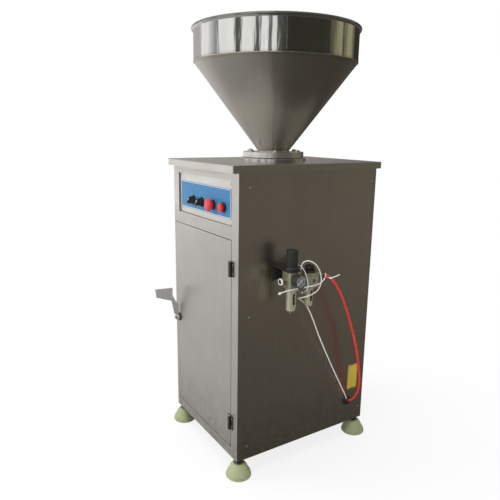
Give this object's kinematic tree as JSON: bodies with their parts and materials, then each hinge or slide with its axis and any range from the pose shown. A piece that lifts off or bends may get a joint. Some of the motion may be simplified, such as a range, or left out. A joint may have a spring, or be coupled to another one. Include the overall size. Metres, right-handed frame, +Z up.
{
  "type": "pneumatic sausage filler",
  "caption": "Floor-standing pneumatic sausage filler: steel cabinet with an open conical hopper on top, a front control panel, a knee lever and an air service unit on its side.",
  "frame": {"origin": "on the floor, at the middle of the machine's overall width and depth", "axes": "+Z up, -Y towards the operator (the door side), +X to the side with the air service unit"},
  "size_m": [0.71, 0.5905, 1.2885],
  "materials": {
    "front_steel": "satin",
    "side_steel": "satin",
    "tube_steel": "satin",
    "hopper_steel": "polished",
    "turned_steel": "turned",
    "gear_steel": "satin",
    "fastener_steel": "satin",
    "rod_chrome": "polished",
    "plain_aluminium": "satin",
    "piston_plastic": "satin",
    "gasket_rubber": "matte",
    "foot_rubber": "matte",
    "grommet_rubber": "matte",
    "blue_plate": "satin",
    "black_plastic": "satin",
    "red_plastic": "gloss",
    "pale_red_plastic": "gloss",
    "unit_metal": "painted",
    "clear_plastic": "clear",
    "fitting_brass": "nickel plated",
    "gauge_black": "satin",
    "needle_paint": "matte",
    "red_hose_plastic": "gloss",
    "white_tube_plastic": "gloss",
    "grey_box_plastic": "matte",
    "valve_block": "anodised"
  },
  "bodies": {
    "cabinet": {"front_fascia": "front_steel", "control_plate": "front_steel", "top_cover": "front_steel", "left_side_panel": "side_steel", "right_side_panel": "side_steel", "rear_cover": "side_steel", "base_plate": "side_steel", "cabinet_frame": "tube_steel", "door_catch": "tube_steel", "unit_bracket": "tube_steel", "hopper": "hopper_steel", "base_ring": "turned_steel", "valve_housing": "turned_steel", "valve_covers": "turned_steel", "dosing_cylinder": "turned_steel", "outlet_pipe": "turned_steel", "filling_nozzle": "turned_steel", "flange_bolts": "fastener_steel", "sheet_screws": "fastener_steel", "hinge_pin_leaves": "fastener_steel", "tie_rods": "rod_chrome", "air_cylinder": "plain_aluminium", "rack_cylinder": "plain_aluminium", "rack_guide": "plain_aluminium", "throat_gasket": "gasket_rubber", "cable_grommet": "grommet_rubber", "face_plate": "blue_plate", "switch_bodies": "black_plastic", "regulator_bonnet": "black_plastic", "regulator_body": "unit_metal", "lubricator_body": "unit_metal", "bowl_guards": "unit_metal", "clear_bowls": "clear_plastic", "sight_dome": "clear_plastic", "air_fittings": "fitting_brass", "gauge_case": "gauge_black", "red_hose": "red_hose_plastic", "pilot_tube": "white_tube_plastic", "control_box": "grey_box_plastic", "solenoid_valves": "valve_block"},
    "door": {"door_panel": "front_steel", "door_hinge_leaves": "fastener_steel", "knee_switch": "black_plastic"},
    "knee_lever": {"knee_lever": "fastener_steel"},
    "selector_left": {"selector_knob_left": "black_plastic"},
    "selector_right": {"selector_knob_right": "black_plastic"},
    "stop_button": {"stop_button": "red_plastic"},
    "start_button": {"start_button": "pale_red_plastic"},
    "regulator_knob": {"regulator_knob": "black_plastic"},
    "gauge_needle": {"gauge_needle": "needle_paint"},
    "valve": {"valve_plug": "turned_steel", "valve_pinion": "gear_steel"},
    "valve_rack": {"valve_rack": "gear_steel"},
    "piston": {"dosing_piston": "piston_plastic", "piston_rod": "rod_chrome"},
    "union_nut": {"union_nut": "turned_steel"},
    "foot_front_left": {"foot_front_left": "foot_rubber"},
    "foot_front_right": {"foot_front_right": "foot_rubber"},
    "foot_back_left": {"foot_back_left": "foot_rubber"},
    "foot_back_right": {"foot_back_right": "foot_rubber"}
  },
  "joints": [
    {"name": "door_swing", "type": "hinge", "parent": "cabinet", "child": "door", "pos_m": [0.217, -0.2198, 0.4], "axis": [0, 0, 1], "range_deg": [0, 110]},
    {"name": "knee_lever_push", "type": "hinge", "parent": "door", "child": "knee_lever", "pos_m": [-0.123, -0.2185, 0.386], "axis": [0, 1, 0], "range_deg": [-18, 18], "stiffness_Nm_per_rad": 2},
    {"name": "selector_left_turn", "type": "hinge", "parent": "cabinet", "child": "selector_left", "pos_m": [-0.015, -0.2095, 0.792], "axis": [0, -1, 0], "range_deg": [0, 90]},
    {"name": "selector_right_turn", "type": "hinge", "parent": "cabinet", "child": "selector_right", "pos_m": [0.038, -0.2095, 0.792], "axis": [0, -1, 0], "range_deg": [0, 90]},
    {"name": "stop_button_push", "type": "slide", "parent": "cabinet", "child": "stop_button", "axis": [0, 1, 0], "range_m": [0, 0.005], "stiffness_N_per_m": 600},
    {"name": "start_button_push", "type": "slide", "parent": "cabinet", "child": "start_button", "axis": [0, 1, 0], "range_m": [0, 0.0035], "stiffness_N_per_m": 600},
    {"name": "regulator_knob_turn", "type": "hinge", "parent": "cabinet", "child": "regulator_knob", "pos_m": [0.311, -0.0805, 0.66], "axis": [0, 0, -1], "range_deg": [0, 1440]},
    {"name": "gauge_needle_turn", "type": "hinge", "parent": "cabinet", "child": "gauge_needle", "pos_m": [0.351, -0.0805, 0.608], "axis": [-1, 0, 0], "range_deg": [0, 270]},
    {"name": "valve_turn", "type": "hinge", "parent": "cabinet", "child": "valve", "pos_m": [0.053, 0.0305, 0.834], "axis": [0, 1, 0], "range_deg": [0, 90]},
    {"name": "valve_rack_slide", "type": "slide", "parent": "cabinet", "child": "valve_rack", "axis": [-1, 0, 0], "range_m": [0, 0.0378]},
    {"name": "piston_stroke", "type": "slide", "parent": "cabinet", "child": "piston", "axis": [0, 0, 1], "range_m": [0, 0.18]},
    {"name": "union_nut_turn", "type": "hinge", "parent": "cabinet", "child": "union_nut", "pos_m": [-0.177, 0.0305, 0.834], "axis": [-1, 0, 0], "range_deg": [0, 1080]},
    {"name": "foot_front_left_level", "type": "slide", "parent": "cabinet", "child": "foot_front_left", "axis": [0, 0, -1], "range_m": [0, 0.015]},
    {"name": "foot_front_right_level", "type": "slide", "parent": "cabinet", "child": "foot_front_right", "axis": [0, 0, -1], "range_m": [0, 0.015]},
    {"name": "foot_back_left_level", "type": "slide", "parent": "cabinet", "child": "foot_back_left", "axis": [0, 0, -1], "range_m": [0, 0.015]},
    {"name": "foot_back_right_level", "type": "slide", "parent": "cabinet", "child": "foot_back_right", "axis": [0, 0, -1], "range_m": [0, 0.015]}
  ],
  "couplings": [
    {"joint": "valve_rack_slide", "follows": "valve_turn", "m_per_rad": 0.024}
  ]
}
